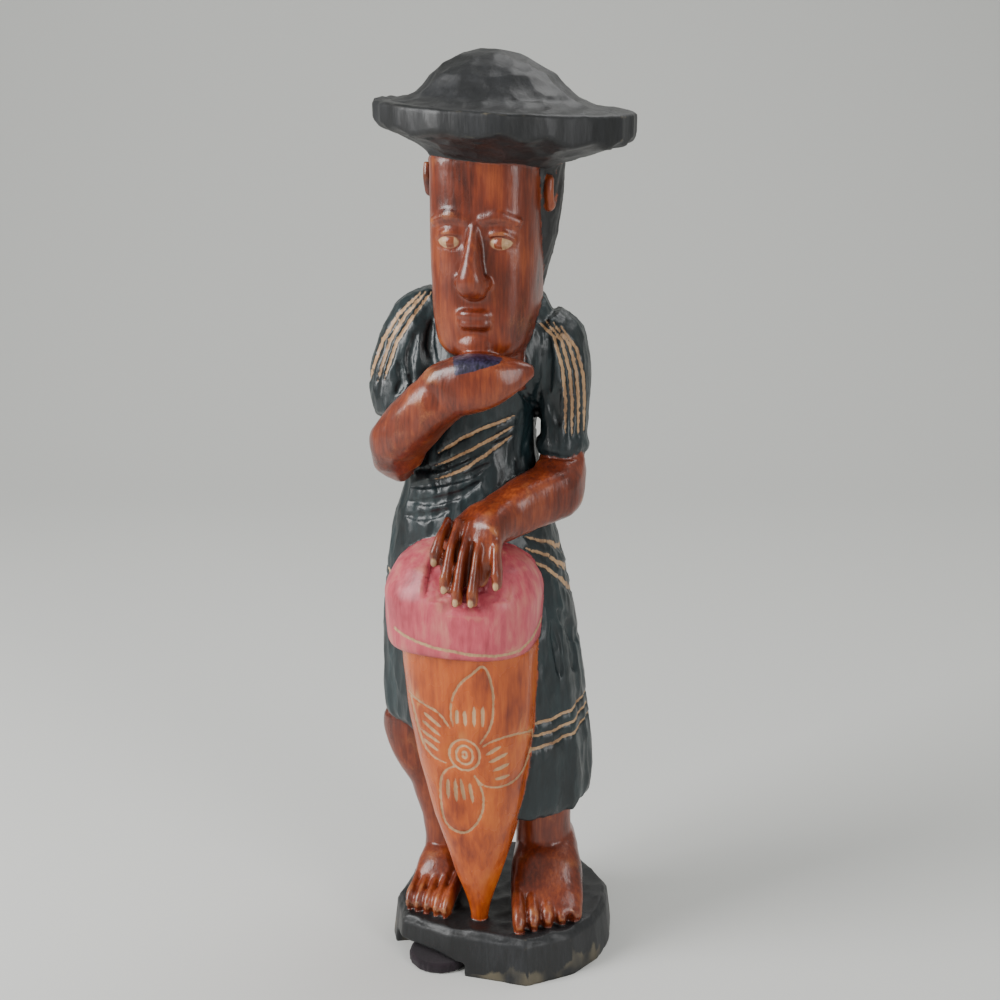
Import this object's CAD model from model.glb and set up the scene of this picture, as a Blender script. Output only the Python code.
import math

import bpy
import numpy as np
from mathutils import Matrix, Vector


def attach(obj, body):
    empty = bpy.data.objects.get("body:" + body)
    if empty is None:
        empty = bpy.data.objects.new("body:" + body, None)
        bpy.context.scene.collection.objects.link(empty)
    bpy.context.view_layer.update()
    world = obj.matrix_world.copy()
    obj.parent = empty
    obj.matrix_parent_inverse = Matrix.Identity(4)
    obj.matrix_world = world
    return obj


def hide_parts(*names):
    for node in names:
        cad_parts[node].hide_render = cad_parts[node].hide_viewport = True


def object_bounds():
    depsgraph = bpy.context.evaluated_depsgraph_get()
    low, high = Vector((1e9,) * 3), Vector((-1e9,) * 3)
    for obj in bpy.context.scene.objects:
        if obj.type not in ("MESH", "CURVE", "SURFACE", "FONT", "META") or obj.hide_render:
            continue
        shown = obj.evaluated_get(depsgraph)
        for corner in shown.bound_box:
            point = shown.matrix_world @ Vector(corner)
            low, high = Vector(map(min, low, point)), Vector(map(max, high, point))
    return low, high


# A drummer carved and painted on one log: hat, head, tunic, drum and base are one skin.
# Every form is laid out in steps of about a millimetre, counted up from the top of the base.

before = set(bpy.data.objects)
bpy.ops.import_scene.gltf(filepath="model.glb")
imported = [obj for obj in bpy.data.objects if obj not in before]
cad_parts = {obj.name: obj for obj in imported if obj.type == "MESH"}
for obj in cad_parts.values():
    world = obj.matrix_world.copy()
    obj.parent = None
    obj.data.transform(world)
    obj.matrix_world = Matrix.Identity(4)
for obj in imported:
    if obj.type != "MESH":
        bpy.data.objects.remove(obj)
cadLow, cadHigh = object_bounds()

figure = {
    "baseTop": 0.034,        # metres, where the feet stand
    "stepsHigh": 626.0,      # steps from there to the top of the hat
    "grain": 1.3,            # steps, size of the voxels that join the forms
    "sanding": 3,            # passes that take the voxels' stairs off
    "mostTriangles": 190000,
    "viewTurn": 15.0,        # degrees, the side that the strokes are drawn from
}
step = (cadHigh.z - figure["baseTop"]) / figure["stepsHigh"]
floorLevel = -figure["baseTop"] / step
turnCos = math.cos(math.radians(figure["viewTurn"]))
turnSin = math.sin(math.radians(figure["viewTurn"]))
forms = []


def inMetres(points):
    # steps above the base top to metres above the floor
    return points * step + np.array([0, 0, figure["baseTop"]])


def superRing(angle, power):
    # signed powers of cos and sin: 2 gives a circle, more a rounder square
    c, s = np.cos(angle), np.sin(angle)
    return np.sign(c) * np.abs(c) ** (2 / power), np.sign(s) * np.abs(s) ** (2 / power)


def easedRows(rows, level, ease, spacing=1.6):
    # rows resampled at even steps along their path, then averaged with their neighbours
    # until a corner is rounded over about `ease` steps; the ends stay put
    rows = np.array(rows, float)
    moved = np.diff(rows if level else rows[:, :3], axis=0)
    along = np.r_[0, np.cumsum(np.linalg.norm(moved, axis=1))]
    count = max(10, int(along[-1] / spacing))
    places = np.linspace(0, along[-1], count)
    path = np.column_stack([np.interp(places, along, rows[:, k]) for k in range(rows.shape[1])])
    for _ in range(int((ease / spacing) ** 2)):
        path[1:-1] = (path[:-2] + 2 * path[1:-1] + path[2:]) / 4
    return path


def sweep(zone, rows, power=2.3, side=(0, -1, 0), level=False, ease=4, around=56, warp=None):
    # a superellipse carried along a path: centre + across * a * cos' + up * b * sin';
    # rows are (x, y, z, half across, half up), and level keeps every ring flat
    path = easedRows(rows, level, ease)
    spine = path[:, :3]
    if level:
        ahead = np.tile([0.0, 0.0, 1.0], (len(path), 1))
        across = np.tile([1.0, 0.0, 0.0], (len(path), 1))
    else:
        ahead = np.gradient(spine, axis=0)
        ahead /= np.linalg.norm(ahead, axis=1, keepdims=True)
        across = np.cross(ahead, side)
        across /= np.linalg.norm(across, axis=1, keepdims=True)
    up = np.cross(ahead, across)
    angle = np.linspace(0, 2 * math.pi, around, endpoint=False)
    c, s = superRing(angle, power)
    grid = (spine[:, None] + across[:, None] * (path[:, 3:4] * c)[..., None]
            + up[:, None] * (path[:, 4:5] * s)[..., None])
    if warp:
        grid = warp(grid, angle)
    form = {"zone": zone, "grid": grid, "path": path, "power": power, "level": level,
            "ahead": ahead, "across": across, "up": up}
    forms.append(form)
    return form


def egg(zone, centre, halves, lean=0.0):
    # level rings of an ellipsoid, each half size times the cosine of its latitude, leant about Y
    climb = np.radians(np.linspace(-86, 86, 25))
    centre = np.array(centre, float)
    rows = np.column_stack([
        np.full(25, centre[0]), np.full(25, centre[1]), centre[2] + halves[2] * np.sin(climb),
        halves[0] * np.cos(climb), halves[1] * np.cos(climb)])

    def leant(grid, angle):
        x, z = grid[..., 0] - centre[0], grid[..., 2] - centre[2]
        turned = grid.copy()
        turned[..., 0] = centre[0] + x * math.cos(lean) + z * math.sin(lean)
        turned[..., 2] = centre[2] + z * math.cos(lean) - x * math.sin(lean)
        return turned

    made = sweep(zone, rows, 2.0, level=True, ease=0, around=28, warp=leant)
    made["egg"] = (centre, np.array(halves, float))
    return made


# ---- the base ----

base = {
    "halfWidth": 82.0, "halfDepth": 77.0,
    "corners": ((1.0, 0.10), (0.93, 0.52), (0.50, 1.08), (-0.10, 1.12), (-0.72, 0.88), (-1.0, 0.30),
                (-1.01, -0.28), (-0.82, -0.72), (-0.30, -0.88), (0.44, -0.90), (0.80, -0.58), (0.96, -0.24)),
    "chamfer": 5.0, "draw": 4.0,
    "padPlace": (-36.7, -48.7), "padRadius": 23.0, "padThickness": 8.0, "padRoom": 4.0, "chipRise": 9.0,
}


def baseRadius(angle):
    # distance from the axis to the hewn outline, read round the corners' polygon
    corners = np.array(base["corners"]) * (base["halfWidth"], base["halfDepth"])
    closed = np.vstack([corners, corners[:1]])
    legs = np.linspace(0, 1, 40, endpoint=False)
    points = (closed[:-1, None] * (1 - legs)[:, None] + closed[1:, None] * legs[:, None]).reshape(-1, 2)
    bearing = np.arctan2(points[:, 1], points[:, 0])
    order = np.argsort(bearing)
    return np.interp(angle, bearing[order], np.hypot(*points[order].T), period=2 * math.pi)


def hewBase(grid, angle):
    # each ring takes the outline's radius, less the chamfer at the top and, below the chip's
    # ceiling, less the broken corner round the pad
    full = baseRadius(angle)[None, :]
    height = grid[..., 2]
    inset = base["draw"] * (height - floorLevel) / -floorLevel
    inset = inset + np.clip(height + base["chamfer"], 0, None) * 0.7
    radius = full - inset
    px, py = base["padPlace"]
    reach, bearing = math.hypot(px, py), math.atan2(py, px)
    off = (angle - bearing + math.pi) % (2 * math.pi) - math.pi
    room = base["padRadius"] + base["padRoom"]
    inside = np.clip(room ** 2 - (reach * np.sin(off)) ** 2, 0, None)
    near = np.where((np.abs(off) < math.pi / 2) & (inside > 0), reach * np.cos(off) - np.sqrt(inside), 999.0)
    ceiling = floorLevel + base["padThickness"] + 0.6
    climb = (height - ceiling) / base["chipRise"]
    broken = np.where(height < ceiling, near[None, :], near[None, :] + 24 + 30 * climb)
    radius = np.where(climb < 1, np.minimum(radius, broken), radius)
    out = grid.copy()
    out[..., 0] = radius * np.cos(angle)
    out[..., 1] = radius * np.sin(angle)
    return out


def carveBase():
    heights = np.r_[np.linspace(floorLevel, floorLevel + 8.55, 8), np.linspace(floorLevel + 8.65, 0, 30)]
    rows = np.column_stack([np.zeros(38), np.zeros(38), heights, np.ones(38), np.ones(38)])
    made = sweep("black", rows, 2.0, level=True, ease=0, around=240, warp=hewBase)
    made["slab"] = True


# ---- legs and feet ----

legs = {
    "rightShin": ((-49, 8, 4, 17, 18), (-50, 8, 40, 14, 15), (-52, 8, 60, 14, 15), (-59, 5, 92, 16, 17),
                  (-69, 2, 118, 20, 21), (-72, 1, 136, 22, 22), (-68, 4, 150, 22, 22), (-60, 6, 180, 22, 22)),
    "rightFoot": ((-46, 30, 10, 12, 10), (-47, 10, 21, 16, 23), (-48, -10, 16, 17.5, 19), (-48, -24, 9, 17.5, 12),
                  (-48, -36, 3, 17, 8)),
    "rightToes": ((-33, -50), (-63, -45), -0.10),
    "leftShin": ((29, 14, 4, 22, 22), (29, 12, 34, 22, 22), (28, 12, 60, 20, 20), (27, 11, 104, 22, 20)),
    "leftFoot": ((24, 40, 12, 17, 13), (29, 19, 30, 23, 32), (34, -2, 23, 27, 26), (39, -20, 12, 27, 15),
                 (42, -33, 4, 26, 9)),
    "leftToes": ((27, -57), (63, -29), 0.32),
}


def carveFoot(shin, foot, toes):
    # a shin, a wedge of a foot, and five toes between the big toe's tip and the little toe's
    sweep("skin", shin, 2.3, level=False, side=(0, 1, 0))
    sweep("skin", foot, 2.9, side=(0, 0, 1))
    big, little, heading = np.array(toes[0]), np.array(toes[1]), toes[2]
    ahead = np.array([math.sin(heading), -math.cos(heading)])
    span = abs((little - big) @ np.array([ahead[1], -ahead[0]]))
    half = span / 9.6
    for k in range(5):
        tip = big + (little - big) * k / 4
        toe = [(*(tip - ahead * back), up, half * wide, tall)
               for back, up, wide, tall in ((40, 23, 0.7, 7), (22, 15, 0.95, 8), (9, 9, 1.05, 8), (2, 5.5, 1.0, 6.5), (0, 4, 0.8, 4.5))]
        sweep("skin", toe, 2.8, side=(0, 0, 1), ease=2, around=28)
        egg("bare", (*(tip - ahead * 0.4), 6.0), (half * 0.84, 2.6, 4.8))


# ---- the tunic ----

tunic = {
    "hemHigh": 143.0, "hemLow": 85.0, "frontRise": 9.0,
    "skirt": ((0.0, -14, 11, 73, 58), (0.03, -14, 11, 77, 61), (0.25, -15, 10.5, 77, 60), (0.62, -19, 9, 73, 57),
              (1.0, -23, 8, 65, 50)),
    "waist": 266.0,
    "body": ((-25, 8, 300, 57, 46), (-25, 10, 331, 48, 42), (-25, 12, 358, 43, 39), (-24, 13, 378, 44, 39),
             (-20, 14, 406, 52, 40), (-19, 16, 434, 55, 36), (-15, 17, 454, 43, 31), (-8, 17, 470, 26, 22)),
    "drapes": 1.5,           # steps, how far the skirt's folds stand out
}


def hemHeight(angle):
    # low on the figure's left, high on its right and a little higher in front, with a quick climb between
    low, high = tunic["hemLow"], tunic["hemHigh"]
    share = 0.5 - 0.5 * np.tanh(3.4 * (np.cos(angle) + 0.1))
    return low + (high - low + tunic["frontRise"] * np.clip(-np.sin(angle), 0, 1)) * share


def hangTunic(grid, angle):
    # rings under the waist slide down to the hem, and folds ripple outwards below the hips
    out = grid.copy()
    height = out[..., 2]
    share = np.clip((height - tunic["hemLow"]) / (tunic["waist"] - tunic["hemLow"]), 0, 1)
    hem = hemHeight(angle)[None, :]
    below = height < tunic["waist"]
    out[..., 2] = np.where(below, hem + (tunic["waist"] - hem) * share, height)
    ripple = np.sin(angle * 11 + 1.4 * np.sin(angle * 3)) + 0.5 * np.sin(angle * 19 + 2)
    ripple = ripple[None, :] * tunic["drapes"] * (1 - share) ** 0.7
    out[..., 0] += ripple * np.cos(angle)
    out[..., 1] += ripple * np.sin(angle)
    return out


def carveTunic():
    skirt = [(cx, cy, tunic["hemLow"] + (tunic["waist"] - tunic["hemLow"]) * share, hx, hy)
             for share, cx, cy, hx, hy in tunic["skirt"]]
    made = sweep("tunic", tuple(skirt) + tunic["body"], 2.4, level=True, ease=9, around=160, warp=hangTunic)
    made["hem"] = True


# ---- arms and hands ----

arms = {
    "rightSleeve": ((-47, 15, 456, 15, 19), (-62, 11, 439, 25, 28), (-68, 3, 408, 30, 29), (-69, -5, 386, 27, 26),
                    (-69, -10, 374, 21, 22)),
    "rightElbow": ((-67, 0, 395, 20, 22), (-67, -12, 368, 18, 19), (-64, -24, 350, 12, 13)),
    "rightForearm": ((-67, -25, 334, 5, 6), (-70, -31, 348, 17, 15), (-66, -38, 364, 21, 18), (-51, -45, 381, 20, 19),
                     (-36, -49, 396, 18, 19), (-22, -51, 405, 16, 18), (-8, -51, 409, 14, 16)),
    "rightHand": ((-38, -49, 398, 14, 16), (-27, -50, 406, 17.5, 19), (-12, -51, 410, 18, 20.5), (2, -50, 413, 17, 18.5),
                  (14, -48, 416, 14, 14), (24, -46, 419, 9, 8.5), (32, -44, 420, 3, 3.5)),
    "leftSleeve": ((24, 17, 445, 14, 18), (32, 19, 431, 21, 25), (37, 19, 404, 20.5, 25), (39, 16, 378, 17, 22),
                   (40, 12, 364, 16.5, 20.5), (40, 11, 357, 18.5, 22.5), (40, 10.5, 352, 17, 21)),
    "leftForearm": ((39, 12, 366, 14, 15), (41, 6, 342, 17, 18), (40, -7, 328, 19, 20), (22, -29, 322, 17, 18),
                    (8, -44, 315, 16, 16), (0, -54, 311, 16, 13)),
    "leftHand": ((12, -42, 318, 15, 15), (2, -54, 314, 19, 14), (-4, -63, 308, 22, 11), (-5, -70, 302, 21, 8)),
    "webbing": ((-5, -66, 305, 21, 7), (-7, -74, 292, 20, 5), (-7, -78, 276, 15, 4)),
    "knuckles": ((-23, -62, 316), (-14.5, -64, 318), (-6, -64, 317), (3, -63, 315), (13, -58, 313)),
    "fingertips": ((-25.5, -86, 292), (-18, -89, 274), (-9.5, -90, 266), (1, -89, 266), (17, -84, 278)),
    "fingerHalf": 3.3,
}


def carveArms():
    sweep("tunic", arms["rightSleeve"], 2.3, side=(0, 1, 0), ease=6, around=72)
    sweep("skin", arms["rightElbow"], 2.3, side=(0, 1, 0), ease=4)
    sweep("skin", arms["rightForearm"], 2.6, side=(0, 0, 1), ease=4)
    sweep("skin", arms["rightHand"], 2.9, side=(0, 0, 1), ease=4)
    sweep("tunic", arms["leftSleeve"], 2.3, side=(0, 1, 0), ease=3, around=72)
    sweep("skin", arms["leftForearm"], 2.8, side=(0, 0, 1), ease=4)
    sweep("skin", arms["leftHand"], 2.6, side=(0, 0, 1), ease=3)
    sweep("skin", arms["webbing"], 2.4, side=(0, 0, 1), ease=2)
    half = arms["fingerHalf"]
    for knuckle, tip in zip(arms["knuckles"], arms["fingertips"]):
        knuckle, tip = np.array(knuckle, float), np.array(tip, float)
        bend = knuckle + (tip - knuckle) * 0.45 + (0, -5, 4)
        sweep("skin", ((*knuckle, half * 0.8, 5), (*bend, half * 0.8, 6), (*(tip + (0, 1, 7)), half * 1.15, 6),
                       (*tip, half * 1.1, 4.5)), 2.4, side=(0, -1, 0), ease=2, around=28)
        egg("bare", tip + (0, -3.2, 2.6), (half * 0.95, 2.2, 4.6))


# ---- the drum ----

drum = {
    "centre": (-18, -41), "rim": 222.0, "headTop": 294.0, "headHalfWidth": 54.0, "headHalfDepth": 45.0,
    "body": ((-8, -40, -4, 6, 6), (-8, -40, 7, 6.5, 6.5), (-8, -40, 25, 11.5, 11), (-8, -40, 45, 18, 17),
             (-8.5, -40, 70, 25.5, 23.5), (-9, -40, 103, 34.5, 30), (-10.5, -40, 136, 40.5, 34.5),
             (-12, -40.5, 165, 45, 37.5), (-12.5, -41, 190, 46.5, 39), (-14, -41, 228, 48, 40)),
}


def carveDrum():
    cx, cy = drum["centre"]
    wide, deep, low, high = drum["headHalfWidth"], drum["headHalfDepth"], drum["rim"], drum["headTop"]
    sweep("amber", drum["body"], 2.5, level=True, ease=8, around=120)
    head = ((cx, cy, low, wide - 8, deep - 8), (cx, cy, low + 1.5, wide - 2.5, deep - 2),
            (cx, cy, low + 5, wide - 0.5, deep), (cx, cy, low + 40, wide + 1, deep + 1),
            (cx, cy + 1, high - 24, wide - 1, deep - 1), (cx, cy + 3, high - 11, wide - 8, deep - 8),
            (cx, cy + 5, high - 2, wide - 20, deep - 19), (cx, cy + 6, high + 3, wide - 34, deep - 30),
            (cx, cy + 6, high + 5, 8, 6))
    sweep("rose", head, 2.7, level=True, ease=3, around=140)


# ---- the head ----

head = {
    "x": -10.0, "y": -4.0, "chin": 424.0, "hatLine": 558.0, "halfWidth": 37.0, "halfDepth": 37.0,
}


def carveHead():
    # a long blocky head; brow, eyes, nose and lips stand at even shares of its height
    x, y, chin, top = head["x"], head["y"], head["chin"], head["hatLine"]
    wide, deep, tall = head["halfWidth"], head["halfDepth"], head["hatLine"] - head["chin"]
    sweep("skin", ((x + 4, 0, chin - 24, 27, 34), (x + 4, 4, chin + 40, 27, 30)), 2.3, level=True)
    skull = ((x, y - 8, chin - 1, wide * 0.45, deep * 0.5), (x, y - 7, chin + 2, wide * 0.68, deep * 0.7),
             (x, y - 4, chin + tall * 0.07, wide * 0.86, deep * 0.86), (x, y - 2, chin + tall * 0.22, wide * 0.95, deep * 0.95),
             (x, y, chin + tall * 0.50, wide, deep), (x, y, top + 10, wide * 1.01, deep * 1.01))
    sweep("skin", skull, 3.3, level=True, ease=5, around=120)
    hair = ((x + 2, 14, chin + 10, 22, 18), (x + 2, 16, chin + 30, 27, 22), (x + 3, 16, chin + 56, 33, 24),
            (x + 4, 16, chin + 76, 38, 26), (x + 4, 15, chin + 100, 42, 29), (x + 4, 13, top + 10, 44, 33))
    sweep("hair", hair, 2.6, level=True, ease=6, around=100)
    for hand, up, lean in ((-1, 0.90, -0.12), (1, 0.84, 0.10)):
        ear = (x + hand * (wide + 4), y + 5, chin + tall * up)
        rim = [(ear[0] + hand * 1.5, ear[1] + 7 * math.sin(t), ear[2] + 12 * math.cos(t), 3.4, 3.2)
               for t in np.linspace(0.5, 5.4, 12)]
        sweep("skin", rim, 2.2, side=(1, 0, 0), ease=1.8, around=28)
        egg("skin", (ear[0] - hand * 1.5, ear[1], ear[2]), (4.5, 6.5, 11), lean)
        egg("skin", (ear[0] + hand * 1.0, ear[1] - 3, ear[2] - 11), (4.0, 4.6, 4.8), lean)
    front = y - deep
    eyeLine, noseBase, mouthLine = chin + tall * 0.59, chin + tall * 0.37, chin + tall * 0.215
    nose = ((x, front + 5, eyeLine + 16, 4, 4), (x, front - 1, eyeLine + 1, 4.6, 5.5), (x, front - 6, noseBase + 16, 7, 8),
            (x, front - 9, noseBase + 6, 10, 9), (x, front - 6, noseBase - 1, 10.5, 7), (x, front + 3, noseBase - 4, 7, 4))
    sweep("skin", nose, 2.2, side=(0, -1, 0), ease=3, around=40)
    for hand in (-1, 1):
        egg("skin", (x + hand * 8.4, front - 3, noseBase + 3.5), (4.4, 6, 4.6))
        brow = ((x + hand * 4, front + 1.5, eyeLine + 15, 3, 4), (x + hand * 17, front + 1, eyeLine + 18.5, 3.2, 4.6),
                (x + hand * 31, front + 6.5, eyeLine + 13, 2.2, 3))
        sweep("skin", brow, 2.2, side=(0, 0, 1), ease=3, around=32)
        lid = ((x + hand * 6.5, front + 3.5, eyeLine + 1.0, 1.2, 1.6), (x + hand * 12, front + 0.6, eyeLine + 6.2, 2.0, 2.4),
               (x + hand * 19, front + 0.6, eyeLine + 7.0, 2.0, 2.6), (x + hand * 27, front + 4, eyeLine + 2.4, 1.2, 1.8))
        sweep("skin", lid, 2.2, side=(0, 0, 1), ease=2, around=28)
        under = ((x + hand * 7.5, front + 4, eyeLine - 1.6, 1.0, 1.4), (x + hand * 13, front + 2.0, eyeLine - 5.4, 1.5, 1.8),
                 (x + hand * 20, front + 2.0, eyeLine - 5.2, 1.5, 1.8), (x + hand * 26.5, front + 4.5, eyeLine - 0.6, 1.0, 1.4))
        sweep("skin", under, 2.2, side=(0, 0, 1), ease=2, around=28)
        eye = egg("bare", (x + hand * 16.5, front + 4.2, eyeLine + 0.3), (9.4, 5.4, 5.6))
        eye["iris"] = x + hand * 16.5
    for drop, thick, reach, out in ((3.0, 3.4, 15.5, 1.2), (-3.6, 4.0, 13.5, 1.0)):
        lip = ((x - reach, front + 5, mouthLine + drop * 0.25, 1.4, 1.6), (x - 7, front - out, mouthLine + drop, 3.6, thick),
               (x, front - out, mouthLine + drop * 0.82, 3.8, thick), (x + 7, front - out, mouthLine + drop, 3.6, thick),
               (x + reach, front + 5, mouthLine + drop * 0.25, 1.4, 1.6))
        sweep("skin", lip, 2.1, side=(0, 0, 1), ease=2.5, around=36)
    egg("skin", (x, front + 6, chin + tall * 0.075), (15, 8, 9))


# ---- the hat ----

hat = {
    "halfWidth": 88.0, "halfDepth": 84.5, "rim": 16.0, "crown": 36.0, "tilt": -0.082, "facets": 18,
}


def hewHat(grid, angle):
    # rings become blunt polygons, r times cos(pi/n) / cos(angle within the facet), and lean to one side
    n = hat["facets"]
    wobble = angle + 0.10 * np.sin(angle * 3 + 1) + 0.07 * np.sin(angle * 5)
    within = (wobble % (2 * math.pi / n)) - math.pi / n
    polygon = math.cos(math.pi / n) / np.cos(within)
    top = figure["stepsHigh"]
    out = grid.copy()
    height = grid[..., 2]
    rimLow = top - hat["crown"] - hat["rim"]
    flat = np.clip((height - rimLow + 14) / 14, 0, 1)
    scale = 1 + (polygon[None, :] - 1 + 0.012) * flat
    out[..., :2] *= scale[..., None]
    lower = np.clip(1 - np.abs(height - rimLow) / 7, 0, 1)
    out[..., 2] += lower * (1.8 * np.cos(wobble * n) + 1.6 * np.sin(angle * 4 + 0.6))[None, :]
    out[..., 2] += hatLean(out)
    return out


def hatLean(points):
    # the hat sits lower on its left, less so towards the top of the crown
    share = np.clip((figure["stepsHigh"] - points[..., 2]) / 60, 0, 1)
    return points[..., 0] * math.tan(hat["tilt"]) * share


def carveHat():
    wide, deep, top = hat["halfWidth"], hat["halfDepth"], figure["stepsHigh"]
    brim = top - hat["crown"]
    rows = ((head["x"] + 4, 3, 554, 42, 41), (-2, 0, brim - hat["rim"] - 8, 65, 62),
            (0, 0, brim - hat["rim"] - 0.5, wide - 2, deep - 2), (0, 0, brim - hat["rim"] + 1, wide, deep),
            (0, 0, brim - 0.5, wide, deep), (0, 0, brim + 0.7, wide - 3, deep - 3), (-1, 0, brim + 0.2, 76, 73),
            (-3, 0, brim + 2.5, 64, 61), (-4, 0, brim + 6, 55, 52), (-5, 0, brim + 12, 48.5, 46.5),
            (-7, 0, brim + 20, 41, 40), (-9, 0, brim + 27, 31, 30), (-10, 0, brim + 32.5, 20, 20), (-11, 0, top, 5, 5))
    sweep("black", rows, 2.05, level=True, ease=1.5, around=216, warp=hewHat)


# ---- where a point lies ----

def formMargin(points, form):
    # how deep a point lies under a form's own surface, in steps: negative outside
    path, power = form["path"], form["power"]
    low = form["grid"].reshape(-1, 3).min(0) - 8
    high = form["grid"].reshape(-1, 3).max(0) + 8
    near = np.flatnonzero(((points > low) & (points < high)).all(1))
    margin = np.full(len(points), -12.0)
    q = points[near]
    if "slab" in form:
        margin[near] = -q[:, 2] + 0.6
        return margin
    if "egg" in form:
        centre, halves = form["egg"]
        margin[near] = (1 - np.linalg.norm((q - centre) / halves, axis=1)) * halves.min()
        return margin
    if form["level"]:
        row = [np.interp(q[:, 2], path[:, 2], path[:, k]) for k in (0, 1, 3, 4)]
        u, v, a, b = (q[:, 0] - row[0]), (q[:, 1] - row[1]), row[2], row[3]
        floor = hemHeight(np.arctan2(v, u)) if "hem" in form else path[0, 2]
        ends = np.minimum(q[:, 2] - floor, path[-1, 2] - q[:, 2])
    else:
        spine = path[:, :3]
        gap = ((q[:, None, :] - spine[None]) ** 2).sum(2)
        nearest = gap.argmin(1)
        away = q - spine[nearest]
        u = (away * form["across"][nearest]).sum(1)
        v = (away * form["up"][nearest]).sum(1)
        a, b = path[nearest, 3], path[nearest, 4]
        beyond = (away * form["ahead"][nearest]).sum(1)
        edge = (nearest == 0) | (nearest == len(spine) - 1)
        ends = np.where(edge, 2 - np.abs(beyond), 9.0)
    reach = (np.abs(u / a) ** power + np.abs(v / b) ** power) ** (1 / power)
    margin[near] = np.minimum((1 - reach) * np.minimum(a, b), ends)
    return margin


def zoneMargins(points):
    # the deepest margin of every zone's forms
    found = {}
    for form in forms:
        margin = formMargin(points, form)
        zone = form["zone"]
        found[zone] = np.maximum(found[zone], margin) if zone in found else margin
    # whatever stands above the hat's lower edge is hat
    above = np.clip(points[:, 2] - hatLean(points) - head["hatLine"] + 1.5, -12, 12)
    for zone in found:
        found[zone] = np.maximum(found[zone], above) if zone == "black" else np.minimum(found[zone], -above)
    return found


def inView(points):
    # what the strokes are drawn on: (across, up) as seen from the front, a little to the left
    return np.column_stack([points[:, 0] * turnCos + points[:, 1] * turnSin, points[:, 2]])


def strokeDepth(flat, line, half, taper=0.55):
    # half width of a gouge stroke less the distance from its line, thinner towards both ends
    line = np.array(line, float)
    lengths = np.linalg.norm(np.diff(line, axis=0), axis=1)
    start = np.r_[0, np.cumsum(lengths)]
    best = np.full(len(flat), -12.0)
    for k, (a, b) in enumerate(zip(line[:-1], line[1:])):
        t = np.clip(((flat - a) @ (b - a)) / max(lengths[k] ** 2, 1e-9), 0, 1)
        gap = np.linalg.norm(flat - a - t[:, None] * (b - a), axis=1)
        share = (start[k] + t * lengths[k]) / start[-1]
        width = half * (1 - taper * np.abs(2 * share - 1) ** 4)
        best = np.maximum(best, width - gap)
    return best


# ---- gouged strokes ----

strokes = {
    "half": 1.3, "depth": 1.3, "wander": 0.5,
    "lines": (
        ((-59, 462), (-74, 448), (-85, 430), (-93, 408), (-95, 400)), ((-55, 463), (-69, 448), (-80, 430), (-89, 402)),
        ((-51, 463), (-64, 447), (-75, 430), (-84, 404)),
        ((23, 446), (34, 436), (40, 415), (42.5, 392), (42.5, 369)), ((29, 446), (39.5, 433), (45, 413), (47.2, 390), (47, 367)),
        ((34, 445), (45, 430), (50, 411), (51.8, 388), (51.5, 366)), ((39, 443), (50, 427), (55, 408), (56.4, 388), (56, 368)),
        ((-46, 354), (-32, 364), (-18, 372), (8, 382)), ((-49, 344), (-30, 354), (-14, 363), (6, 374)),
        ((-49, 335), (-30, 343), (-14, 354), (5, 367)),
        ((14, 297), (32, 288), (45, 273), (54, 254)), ((15, 289), (31, 280), (43, 266), (52, 248)),
        ((17, 281), (30, 272), (41, 259), (50, 242)),
        ((10, 161), (38, 163), (64, 168)), ((10, 151), (38, 154), (65, 159)), ((10, 141), (38, 145), (65, 150)),
        ((-96, 268), (-84, 262), (-76, 256)), ((-97, 259), (-85, 253), (-76, 247)), ((-97, 250), (-86, 244), (-76, 238)),
    ),
}

flower = {
    "half": 1.05, "depth": 0.9, "hatchHalf": 1.5,
    "centre": (-28, 149), "rings": ((10.8, 12.4), (6.0, 7.4), (1.6, 2.6)),
    "petals": (
        ((-36, 171), (-38, 183), (-36, 195), (-30, 206), (-22, 213), (-14, 221), (-9, 207), (-7, 191), (-9, 172), (-17, 159)),
        ((-38, 169), (-45, 180), (-55, 184), (-68, 188)), ((-66, 186), (-61, 163), (-57, 149), (-49, 142), (-41, 141)),
        ((-15, 157), (-7, 162), (5, 165), (17, 162), (21, 157), (20, 145), (15, 132), (7, 125), (-4, 123), (-15, 124), (-20, 131)),
        ((-34, 139), (-41, 136), (-45, 128), (-46, 115), (-45, 99), (-43, 88), (-36, 83), (-27, 83)),
        ((-21, 133), (-16, 122), (-14, 110), (-17, 97), (-22, 88), (-30, 81), (-40, 84)),
    ),
    "hatches": (
        ((-33, 185), (-33, 173)), ((-28, 185), (-27, 172)), ((-21, 188), (-21, 172)), ((-15, 189), (-15, 172)),
        ((-57, 178), (-44, 169)), ((-58, 171), (-45, 162)), ((-59, 163), (-45, 156)), ((-58, 156), (-46, 149)),
        ((-13, 150), (-2, 157)), ((-11, 144), (3, 151)), ((-8, 137), (4, 142)), ((-7, 130), (4, 132)),
        ((-40, 128), (-40, 111)), ((-35, 129), (-34, 109)), ((-31, 129), (-28, 110)), ((-25, 127), (-22, 109)),
    ),
}


def rounded(line):
    # corners cut twice: every side gives points a quarter and three quarters along, ends kept
    line = np.array(line, float)
    for _ in range(2):
        near, far = line[:-1] * 0.75 + line[1:] * 0.25, line[:-1] * 0.25 + line[1:] * 0.75
        line = np.concatenate([line[:1], np.stack([near, far], axis=1).reshape(-1, 2), line[-1:]])
    return line


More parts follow.
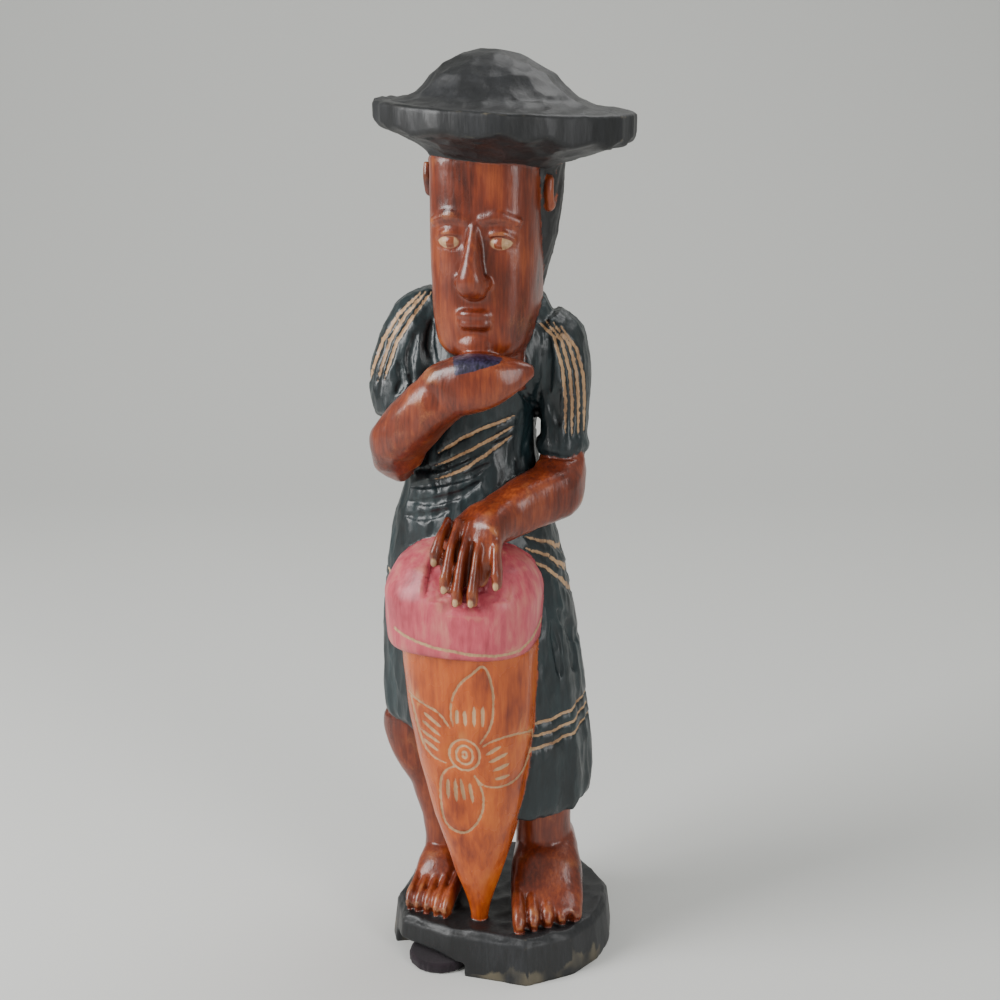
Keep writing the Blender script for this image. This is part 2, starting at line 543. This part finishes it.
def flowerDepth(flat):
    # petals are plain lines, hatches swell in the middle, and the heart is rings of an oval
    best = np.full(len(flat), -6.0)
    for line in flower["petals"]:
        best = np.maximum(best, strokeDepth(flat, rounded(line), flower["half"], 0.25))
    for line in flower["hatches"]:
        best = np.maximum(best, strokeDepth(flat, line, flower["hatchHalf"], 0.8))
    turn = np.linspace(0, 2 * math.pi, 30)
    for wide, tall in flower["rings"]:
        ring = np.column_stack([wide * np.cos(turn), tall * np.sin(turn)]) + flower["centre"]
        best = np.maximum(best, strokeDepth(flat, ring, flower["half"], 0.0))
    return best


rimLine = ((-76, 240), (-66, 236), (-49, 232), (-25, 229), (-5, 228), (10, 229), (20, 234), (27, 240))
dyePatch = {"corners": ((-35, 433), (-33, 419), (-20, 422.5), (-3, 427), (1, 432), (-14, 435.5))}
folds = {
    "half": 1.5, "depth": 1.1,
    "lines": (
        ((-66, 338), (-45, 344), (-20, 356), (2, 366)), ((-68, 326), (-48, 333), (-25, 340), (-8, 350)),
        ((-70, 316), (-50, 320), (-30, 327), (-14, 338)), ((-71, 306), (-55, 309), (-38, 316)),
        ((-66, 352), (-58, 346), (-50, 336), (-46, 326)), ((14, 396), (18, 380), (16, 366), (12, 350)),
        ((20, 392), (24, 378), (24, 362)), ((2, 410), (12, 400), (22, 384)), ((30, 440), (31, 420), (30, 400), (33, 380)),
        ((38, 404), (36, 390), (38, 372)), ((-60, 440), (-66, 420), (-64, 400)), ((-50, 446), (-52, 428), (-46, 410)),
        ((-74, 418), (-70, 404), (-76, 394)), ((33, 236), (38, 214), (41, 190)), ((46, 230), (49, 210), (52, 188)),
        ((38, 242), (46, 226), (55, 206)),
    ),
}


def hashOf(cells, seed):
    # three repeatable numbers from 0 to 1 for every cell
    mixed = cells @ np.array([[127.1, 269.5, 113.5], [311.7, 183.3, 271.9], [74.7, 246.1, 124.6]]) + seed
    return np.abs(np.sin(mixed) * 43758.5453) % 1.0


def scallops(points, size, seed):
    # squared distance to the nearest of one jittered seed per cell: shallow dishes with ridges between,
    # as a gouge leaves them
    grid = points / np.array(size, float)
    corner = np.floor(grid)
    best = np.full(len(points), 9.0)
    for dx in (-1, 0, 1):
        for dy in (-1, 0, 1):
            for dz in (-1, 0, 1):
                cell = corner + (dx, dy, dz)
                gap = ((cell + 0.15 + 0.7 * hashOf(cell, seed) - grid) ** 2).sum(1)
                best = np.minimum(best, gap)
    return best


chisel = {
    # zone: cell size across, deep and tall, in steps, and how far the ridges stand up
    "skin": ((13, 13, 18), 0.5), "tunic": ((8, 8, 22), 1.15), "black": ((15, 15, 13), 1.5),
    "rose": ((20, 20, 20), 0.5), "amber": ((19, 19, 44), 0.9), "hair": ((6, 6, 12), 0.9), "bare": ((9, 9, 9), 0.0),
}


def carving(points, zones):
    # height of the carving over the plain forms: gouge dishes by zone, V-cuts where two zones meet,
    # and the drawn strokes, folds, flower and scoop
    names = sorted(zones)
    depths = np.array([zones[name] for name in names])
    first = depths.argmax(0)
    ranked = np.sort(depths, axis=0)
    lift = np.zeros(len(points))
    for k, name in enumerate(names):
        size, rise = chisel[name]
        mine = np.flatnonzero(first == k)
        if rise and len(mine):
            dish = np.minimum(scallops(points[mine], size, 3.0 + k), 0.6)
            lift[mine] += rise * (dish - 0.22) * 2
            if name == "tunic":
                fine = np.minimum(scallops(points[mine], (3.4, 3.4, 11), 21.0), 0.6)
                lift[mine] += 0.45 * (fine - 0.22)
    flatHead = (first == names.index("skin")) & (points[:, 2] > head["chin"])
    lift[flatHead] *= 0.5
    onRim = (points[:, 2] > 560) & (points[:, 2] < 594) & (np.hypot(points[:, 0], points[:, 1]) > 76)
    onSide = (points[:, 2] < -3) & (points[:, 2] > -40)
    hewn = np.flatnonzero(onRim | onSide)
    lift[hewn] = 1.0 * (np.minimum(scallops(points[hewn], (11, 11, 46), 31.0), 0.6) - 0.22)
    flat = inView(points)
    meeting = ranked[-1] - ranked[-2]
    lift -= 1.0 * np.exp(-(meeting / 1.3) ** 2)
    ahead = points[:, 1] < 30
    isTunic = (first == names.index("tunic")) & ahead
    isAmber = (first == names.index("amber")) & ahead
    isRose = (first == names.index("rose")) & ahead
    cut = np.full(len(points), -6.0)
    wander = strokes["wander"] * np.sin(points[:, 2] * 1.1 + points[:, 0] * 0.7) * np.sin(points[:, 0] * 0.9)
    for line in strokes["lines"]:
        depth = strokeDepth(flat, line, strokes["half"]) + wander * 0.6
        cut = np.where(isTunic, np.maximum(cut, depth), cut)
    lift -= strokes["depth"] * np.clip(cut / strokes["half"] + 0.25, 0, 1) ** 0.6
    petal = np.full(len(points), -6.0)
    petal[isAmber] = flowerDepth(flat[isAmber]) + wander[isAmber] * 0.3
    lift -= flower["depth"] * np.clip(petal / flower["half"] + 0.35, 0, 1)
    rim = np.where(isRose, strokeDepth(flat, rimLine, 1.3, 0.0) + wander * 0.6, -6.0)
    lift -= 0.8 * np.clip(rim + 0.3, 0, 1)
    for line in folds["lines"]:
        depth = strokeDepth(flat, line, folds["half"] * 2.4, 0.9)
        lift -= np.where(isTunic, folds["depth"] * 1.5 * np.clip(depth / folds["half"], 0, 1) ** 1.5, 0)
    return lift, np.maximum(np.maximum(cut, petal), rim)


def scoopUnderHand(points, zones):
    # the drum's head sinks round the fingers, most where they end
    gap = np.clip(-zones["skin"], 0, 12)
    near = np.clip(1 - gap / 11, 0, 1)
    onHead = np.clip(zones["rose"] + 3, 0, 3) / 3
    low = np.clip((points[:, 2] - 252) / 12, 0, 1) * (points[:, 1] < -50)
    return 4.5 * near ** 1.4 * onHead * low


# ---- making the skin ----

def gridMesh(name, grid):
    # a ring grid as quads, its two ends closed with one face each
    rings, around = grid.shape[:2]
    index = np.arange(rings * around).reshape(rings, around)
    turned = np.roll(index, -1, axis=1)
    quads = np.stack([index[:-1], turned[:-1], turned[1:], index[1:]], axis=-1).reshape(-1, 4)
    faces = quads.tolist() + [index[0][::-1].tolist(), index[-1].tolist()]
    mesh = bpy.data.meshes.new(name)
    mesh.from_pydata(inMetres(grid.reshape(-1, 3)).tolist(), [], faces)
    return mesh


def allForms(name):
    # one mesh of every form's grid, closed shell by closed shell
    points, faces, count = [], [], 0
    for form in forms:
        rings, around = form["grid"].shape[:2]
        index = np.arange(rings * around).reshape(rings, around) + count
        turned = np.roll(index, -1, axis=1)
        quads = np.stack([index[:-1], turned[:-1], turned[1:], index[1:]], axis=-1).reshape(-1, 4)
        faces += quads.tolist() + [index[0][::-1].tolist(), index[-1].tolist()]
        points.append(form["grid"].reshape(-1, 3))
        count += rings * around
    mesh = bpy.data.meshes.new(name)
    mesh.from_pydata(inMetres(np.concatenate(points)).tolist(), [], faces)
    return mesh


def readPoints(mesh):
    flat = np.empty(len(mesh.vertices) * 3, np.float32)
    mesh.vertices.foreach_get("co", flat)
    return (flat.reshape(-1, 3).astype(float) - (0, 0, figure["baseTop"])) / step


def readNormals(mesh):
    flat = np.empty(len(mesh.vertices) * 3, np.float32)
    mesh.vertex_normals.foreach_get("vector", flat)
    return flat.reshape(-1, 3).astype(float)


def writePoints(mesh, points):
    mesh.vertices.foreach_set("co", inMetres(points).astype(np.float32).ravel())
    mesh.update()


def finished(piece):
    # the piece's mesh with its modifiers applied
    graph = bpy.context.evaluated_depsgraph_get()
    mesh = bpy.data.meshes.new_from_object(piece.evaluated_get(graph))
    piece.modifiers.clear()
    piece.data = mesh
    return mesh


def ridges(mesh, points, normals, passes):
    # how far a point stands over the mean of its neighbours, averaged over a few rings
    ends = np.empty(len(mesh.edges) * 2, np.int32)
    mesh.edges.foreach_get("vertices", ends)
    a, b = ends.reshape(-1, 2).T
    count = len(points)
    degree = np.bincount(a, minlength=count) + np.bincount(b, minlength=count)
    mean = points.copy()
    for _ in range(passes):
        mean = np.column_stack([
            (np.bincount(a, mean[b, k], count) + np.bincount(b, mean[a, k], count)) / degree for k in range(3)])
    return ((points - mean) * normals).sum(1)


def carveFigure():
    carveBase()
    carveFoot(legs["rightShin"], legs["rightFoot"], legs["rightToes"])
    carveFoot(legs["leftShin"], legs["leftFoot"], legs["leftToes"])
    carveTunic()
    carveArms()
    carveDrum()
    carveHead()
    carveHat()
    piece = bpy.data.objects.new("carvedDrummer", allForms("carvedDrummer"))
    bpy.context.scene.collection.objects.link(piece)
    skin = piece.modifiers.new("one log", "REMESH")
    skin.mode = "VOXEL"
    skin.voxel_size = figure["grain"] * step
    sanded = piece.modifiers.new("sanded", "SMOOTH")
    sanded.factor = 0.5
    sanded.iterations = figure["sanding"]
    mesh = finished(piece)
    points, normals = readPoints(mesh), readNormals(mesh)
    print("joined:", len(points), "points")
    zones = zoneMargins(points)
    lift, _ = carving(points, zones)
    lift -= scoopUnderHand(points, zones)
    settled = np.clip((points[:, 2] - floorLevel) / 3, 0, 1)
    moved = points + normals * (lift * settled)[:, None]
    moved[:, 2] = np.where(moved[:, 2] < floorLevel + 0.8, floorLevel, moved[:, 2])
    writePoints(mesh, moved)
    mesh.calc_loop_triangles()
    thin = piece.modifiers.new("thinned", "DECIMATE")
    thin.ratio = min(1.0, figure["mostTriangles"] / len(mesh.loop_triangles))
    mesh = finished(piece)
    paintZones(mesh)
    mesh.shade_smooth()
    print("carved:", len(mesh.polygons), "faces")
    return piece


def paintZones(mesh):
    # every paint's edge as a distance in steps, positive inside, for the brush line in the material
    points, normals = readPoints(mesh), readNormals(mesh)
    zones = zoneMargins(points)
    _, cut = carving(points, zones)
    names = sorted(zones)
    depths = np.array([zones[name] for name in names])
    for k, name in enumerate(names):
        others = np.delete(depths, k, axis=0).max(0)
        addValues(mesh, name + "Edge", np.clip((depths[k] - others) / 2, -6, 6))
    addValues(mesh, "cutEdge", np.clip(cut, -6, 6))
    iris = np.full(len(points), -6.0)
    for form in forms:
        if "iris" in form:
            close = np.linalg.norm(points - form["egg"][0], axis=1) < 14
            iris = np.where(close, np.maximum(iris, 2.7 - np.abs(points[:, 0] - form["iris"])), iris)
    addValues(mesh, "irisEdge", iris)
    addValues(mesh, "dyeEdge", np.where(points[:, 1] < -50, insidePatch(inView(points), dyePatch["corners"]), -6.0))
    wear = ridges(mesh, points, normals, 6)
    addValues(mesh, "wear", np.clip(wear, -3, 3))


def insidePatch(flat, corners):
    # least distance inside the sides of a convex outline, drawn anticlockwise
    corners = np.array(corners, float)
    best = np.full(len(flat), 6.0)
    for a, b in zip(corners, np.roll(corners, -1, axis=0)):
        side = (b - a) / np.linalg.norm(b - a)
        best = np.minimum(best, (flat - a) @ np.array([-side[1], side[0]]))
    return np.clip(best, -6, 6)


def addValues(mesh, name, values):
    layer = mesh.attributes.new(name, "FLOAT", "POINT")
    layer.data.foreach_set("value", values.astype(np.float32))


# ---- finishes ----

def addNode(tree, kind, inputs=None, **settings):
    made = tree.nodes.new(kind)
    for key, value in settings.items():
        setattr(made, key, value)
    for key, value in (inputs or {}).items():
        if isinstance(value, bpy.types.NodeSocket):
            tree.links.new(value, made.inputs[key])
        else:
            made.inputs[key].default_value = value
    return made


def maths(tree, kind, a, b=0.0, c=0.0, clamp=False):
    return addNode(tree, "ShaderNodeMath", {0: a, 1: b, 2: c}, operation=kind, use_clamp=clamp).outputs[0]


def mixColour(tree, share, a, b, kind="MIX"):
    node = addNode(tree, "ShaderNodeMix", {0: share, 6: a, 7: b}, data_type="RGBA", blend_type=kind)
    return node.outputs[2]


def mixValue(tree, share, a, b):
    return addNode(tree, "ShaderNodeMix", {0: share, 2: a, 3: b}, data_type="FLOAT").outputs[0]


def between(tree, value, low, high, to=(0.0, 1.0)):
    node = addNode(tree, "ShaderNodeMapRange", {0: value, 1: low, 2: high, 3: to[0], 4: to[1]})
    node.interpolation_type = "SMOOTHSTEP"
    return node.outputs[0]


def noise(tree, scale, detail=3.0, rough=0.55, warp=0.0):
    # noise on Object coordinates, `scale` waves a metre along each axis
    place = addNode(tree, "ShaderNodeMapping", {0: coordinates(tree), 3: scale})
    return addNode(tree, "ShaderNodeTexNoise", {0: place.outputs[0], 2: 1.0, 3: detail, 4: rough, 8: warp}).outputs[0]


def coordinates(tree):
    found = tree.nodes.get("place") or addNode(tree, "ShaderNodeTexCoord", name="place")
    return found.outputs["Object"]


def attribute(tree, name):
    return addNode(tree, "ShaderNodeAttribute", attribute_name=name).outputs["Fac"]


def ramp(tree, value, stops):
    node = addNode(tree, "ShaderNodeValToRGB", {0: value})
    line = node.color_ramp
    while len(line.elements) < len(stops):
        line.elements.new(0.5)
    for element, (place, colour) in zip(line.elements, stops):
        element.position = place
        element.color = (*colour, 1)
    return node.outputs[0]


finishes = {
    # darkest, middle and lightest tone, the tone under worn edges, and gloss from dull to bright
    "skin": {"tones": ((0.040, 0.007, 0.004), (0.150, 0.024, 0.008), (0.31, 0.066, 0.016)),
             "worn": (0.42, 0.145, 0.045), "rough": (0.22, 0.38), "wearFrom": 0.50, "wearMost": 0.6, "grain": (420, 420, 36)},
    "tunic": {"tones": ((0.0014, 0.0032, 0.0040), (0.0038, 0.0105, 0.0130), (0.013, 0.030, 0.034)),
              "worn": (0.10, 0.13, 0.11), "rough": (0.30, 0.48), "wearFrom": 0.85, "wearMost": 0.5, "grain": (300, 300, 40)},
    "black": {"tones": ((0.0018, 0.0018, 0.0022), (0.0045, 0.005, 0.006), (0.016, 0.017, 0.020)),
              "worn": (0.20, 0.165, 0.10), "rough": (0.42, 0.62), "wearFrom": 1.25, "wearMost": 0.45, "grain": (500, 500, 60)},
    "hair": {"tones": ((0.002, 0.002, 0.0025), (0.005, 0.005, 0.006), (0.016, 0.014, 0.014)),
             "worn": (0.06, 0.03, 0.02), "rough": (0.40, 0.55), "wearFrom": 0.9, "wearMost": 0.4, "grain": (400, 400, 60)},
    "rose": {"tones": ((0.24, 0.014, 0.030), (0.46, 0.066, 0.090), (0.56, 0.21, 0.16)),
             "worn": (0.54, 0.28, 0.16), "rough": (0.36, 0.55), "wearFrom": 0.8, "wearMost": 0.4, "grain": (200, 200, 40)},
    "amber": {"tones": ((0.16, 0.020, 0.004), (0.40, 0.070, 0.007), (0.54, 0.130, 0.015)),
              "worn": (0.58, 0.24, 0.06), "rough": (0.20, 0.34), "wearFrom": 0.7, "wearMost": 0.5, "grain": (300, 300, 30)},
    "bare": {"tones": ((0.20, 0.10, 0.045), (0.42, 0.25, 0.125), (0.56, 0.37, 0.21)),
             "worn": (0.58, 0.40, 0.24), "rough": (0.42, 0.60), "wearFrom": 0.9, "wearMost": 0.4, "grain": (500, 500, 60)},
}


def finish(tree, name, wear):
    # grain streaks over slow blotches pick the tone, hollows keep more stain, and here and there
    # a ridge is rubbed through to the worn tone
    look = finishes[name]
    streak = noise(tree, look["grain"], 4.0, 0.6, 0.4)
    blotch = noise(tree, (38, 38, 22), 3.0)
    speck = noise(tree, (900, 900, 700), 2.0, 0.7)
    patch = between(tree, noise(tree, (31, 31, 24), 2.0), 0.44, 0.60)
    tone = maths(tree, "MULTIPLY_ADD", streak, 0.4, maths(tree, "MULTIPLY", blotch, 0.6))
    dark, middle, light = look["tones"]
    colour = ramp(tree, tone, ((0.32, dark), (0.50, middle), (0.70, light)))
    colour = mixColour(tree, between(tree, wear, -0.5, -1.6, (0.0, 0.75)), colour, (*dark, 1))
    rubbed = maths(tree, "MULTIPLY_ADD", speck, 0.6, wear)
    share = between(tree, rubbed, look["wearFrom"] + 0.2, look["wearFrom"] + 0.8)
    share = maths(tree, "MULTIPLY", maths(tree, "MULTIPLY", share, look["wearMost"]), patch)
    colour = mixColour(tree, share, colour, (*look["worn"], 1))
    rough = mixValue(tree, blotch, look["rough"][0], look["rough"][1])
    return {"colour": colour, "rough": rough}


def paintOver(tree, share, under, over):
    return {"colour": mixColour(tree, share, under["colour"], over["colour"]),
            "rough": mixValue(tree, share, under["rough"], over["rough"])}


def carvedMaterial():
    material = bpy.data.materials.new("stainedAndPaintedLog")
    material.use_nodes = True
    tree = material.node_tree
    shader = tree.nodes["Principled BSDF"]
    wear = attribute(tree, "wear")
    wobble = maths(tree, "MULTIPLY_ADD", noise(tree, (330, 330, 330), 2.0), 1.4, -0.7)
    look = finish(tree, "skin", wear)
    for name in ("hair", "tunic", "black", "rose", "amber", "bare"):
        edge = maths(tree, "ADD", attribute(tree, name + "Edge"), wobble if name != "bare" else 0.0)
        look = paintOver(tree, between(tree, edge, -0.25, 0.25), look, finish(tree, name, wear))
    bare = finish(tree, "bare", wear)
    cut = maths(tree, "ADD", attribute(tree, "cutEdge"), maths(tree, "MULTIPLY", wobble, 0.8))
    look = paintOver(tree, between(tree, cut, -0.1, 0.5), look, bare)
    iris = {"colour": (0.20, 0.045, 0.018, 1), "rough": 0.25}
    onEye = maths(tree, "MULTIPLY", between(tree, attribute(tree, "irisEdge"), -0.2, 0.3),
                  between(tree, attribute(tree, "bareEdge"), -0.3, 0.3))
    look = paintOver(tree, onEye, look, iris)
    dye = {"colour": ramp(tree, noise(tree, (500, 500, 20), 3.0), ((0.35, (0.006, 0.005, 0.014)), (0.6, (0.035, 0.028, 0.065)))),
           "rough": 0.3}
    onFist = maths(tree, "ADD", attribute(tree, "dyeEdge"), wobble)
    look = paintOver(tree, between(tree, onFist, -0.3, 0.3), look, dye)
    tree.links.new(look["colour"], shader.inputs["Base Color"])
    tree.links.new(look["rough"], shader.inputs["Roughness"])
    shader.inputs["Coat Weight"].default_value = 0.10
    shader.inputs["Coat Roughness"].default_value = 0.22
    grain = noise(tree, (520, 520, 46), 4.0, 0.6)
    tool = noise(tree, (150, 150, 70), 3.0, 0.5)
    relief = maths(tree, "MULTIPLY_ADD", grain, 0.35, tool)
    bump = addNode(tree, "ShaderNodeBump", {"Height": relief, "Strength": 0.5, "Distance": 0.0009})
    tree.links.new(bump.outputs[0], shader.inputs["Normal"])
    return material


# ---- the felt pad ----

pad = {"edge": 2.6, "rings": 40, "around": 160, "fuzz": 0.22}


def feltPad():
    # a disc turned from a rounded profile: straight side, quarter-circle edges, flat faces
    turn = np.linspace(0, math.pi / 2, 8)
    r, t, e = base["padRadius"], base["padThickness"], pad["edge"]
    profileR = np.r_[np.linspace(0.5, r - e, 8), r - e + e * np.sin(turn), r - e + e * np.cos(turn), np.linspace(r - e, 0.5, 8)]
    profileZ = np.r_[np.zeros(8), e - e * np.cos(turn), t - e + e * np.sin(turn), np.full(8, t)]
    angle = np.linspace(0, 2 * math.pi, pad["around"], endpoint=False)
    fuzz = pad["fuzz"] * np.sin(angle * 23 + np.sin(angle * 7) * 2)[None, :] * (profileR > r - 1.2)[:, None]
    radius = profileR[:, None] + fuzz
    px, py = base["padPlace"]
    grid = np.stack([px + radius * np.cos(angle), py + radius * np.sin(angle),
                     np.broadcast_to(floorLevel + profileZ[:, None], radius.shape)], axis=-1)
    piece = bpy.data.objects.new("feltPad", gridMesh("feltPad", grid))
    bpy.context.scene.collection.objects.link(piece)
    piece.data.shade_smooth()
    return piece


def feltMaterial():
    material = bpy.data.materials.new("darkFelt")
    material.use_nodes = True
    tree = material.node_tree
    shader = tree.nodes["Principled BSDF"]
    fibre = noise(tree, (1400, 1400, 1400), 4.0, 0.7, 1.0)
    shade = noise(tree, (90, 90, 90), 2.0)
    tone = maths(tree, "MULTIPLY_ADD", fibre, 0.6, maths(tree, "MULTIPLY", shade, 0.4))
    tree.links.new(ramp(tree, tone, ((0.35, (0.004, 0.002, 0.004)), (0.65, (0.018, 0.009, 0.015)))), shader.inputs["Base Color"])
    shader.inputs["Roughness"].default_value = 0.95
    shader.inputs["Sheen Weight"].default_value = 0.08
    bump = addNode(tree, "ShaderNodeBump", {"Height": fibre, "Strength": 0.7, "Distance": 0.0006})
    tree.links.new(bump.outputs[0], shader.inputs["Normal"])
    return material


# ---- the studio ----

studio = {
    "distance": 1.10, "height": 0.673, "aside": -0.003, "azimuth": 15.0, "pitch": 16.4, "lens": 57.6,
}


def setCamera():
    a = math.radians(studio["azimuth"])
    data = bpy.data.cameras.new("camera")
    data.lens, data.sensor_width = studio["lens"], 36.0
    camera = bpy.data.objects.new("camera", data)
    camera.location = (studio["aside"] * math.cos(a) + studio["distance"] * math.sin(a),
                       studio["aside"] * math.sin(a) - studio["distance"] * math.cos(a), studio["height"])
    camera.rotation_euler = (math.radians(90 - studio["pitch"]), 0, a)
    bpy.context.scene.collection.objects.link(camera)
    bpy.context.scene.camera = camera


def setFloor():
    # a pale sheet that lies flat under the figure and curves up behind it, square to the camera
    turn = np.linspace(0, math.pi / 2, 24)
    depth = np.r_[-4.0, 1.2 + 1.2 * np.sin(turn), 2.4]
    height = np.r_[0.0, 1.2 - 1.2 * np.cos(turn), 4.0]
    a = math.radians(studio["azimuth"])
    away, aside = np.array([-math.sin(a), math.cos(a), 0]), np.array([math.cos(a), math.sin(a), 0])
    middle = depth[:, None] * away + height[:, None] * np.array([0, 0, 1])
    points = np.concatenate([middle - 4 * aside, middle + 4 * aside])
    low, count = np.arange(len(depth) - 1), len(depth)
    faces = np.column_stack([low, low + count, low + count + 1, low + 1]).tolist()
    mesh = bpy.data.meshes.new("floor")
    mesh.from_pydata(points.tolist(), [], faces)
    mesh.shade_smooth()
    floor = bpy.data.objects.new("floor", mesh)
    bpy.context.scene.collection.objects.link(floor)
    material = bpy.data.materials.new("paleFloor")
    material.use_nodes = True
    shader = material.node_tree.nodes["Principled BSDF"]
    shader.inputs["Base Color"].default_value = (0.62, 0.62, 0.60, 1)
    shader.inputs["Roughness"].default_value = 0.9
    mesh.materials.append(material)


def setLight(name, place, size, power):
    data = bpy.data.lights.new(name, "AREA")
    data.shape, data.size, data.size_y, data.energy = "RECTANGLE", size[0], size[1], power
    light = bpy.data.objects.new(name, data)
    light.location = place
    light.rotation_euler = (Vector((0, 0, 0.33)) - Vector(place)).to_track_quat("-Z", "Y").to_euler()
    bpy.context.scene.collection.objects.link(light)


def setStudio():
    setCamera()
    setFloor()
    setLight("window", (-1.3, -1.0, 1.2), (0.8, 1.3), 50)
    setLight("fill", (1.5, -1.2, 0.9), (0.6, 1.2), 16)
    setLight("overhead", (0.5, 0.9, 2.0), (1.2, 1.2), 16)
    world = bpy.data.worlds.new("studio")
    world.use_nodes = True
    world.node_tree.nodes["Background"].inputs[0].default_value = (0.93, 0.96, 0.93, 1)
    world.node_tree.nodes["Background"].inputs[1].default_value = 0.5
    bpy.context.scene.world = world


setStudio()
print("studio set")
drummer = carveFigure()
drummer.data.materials.clear()
drummer.data.materials.append(carvedMaterial())
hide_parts("drummer_figure")
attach(drummer, "root")
felt = feltPad()
felt.data.materials.append(feltMaterial())
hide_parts("levelling_pad")
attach(felt, "root")
print("pad made")
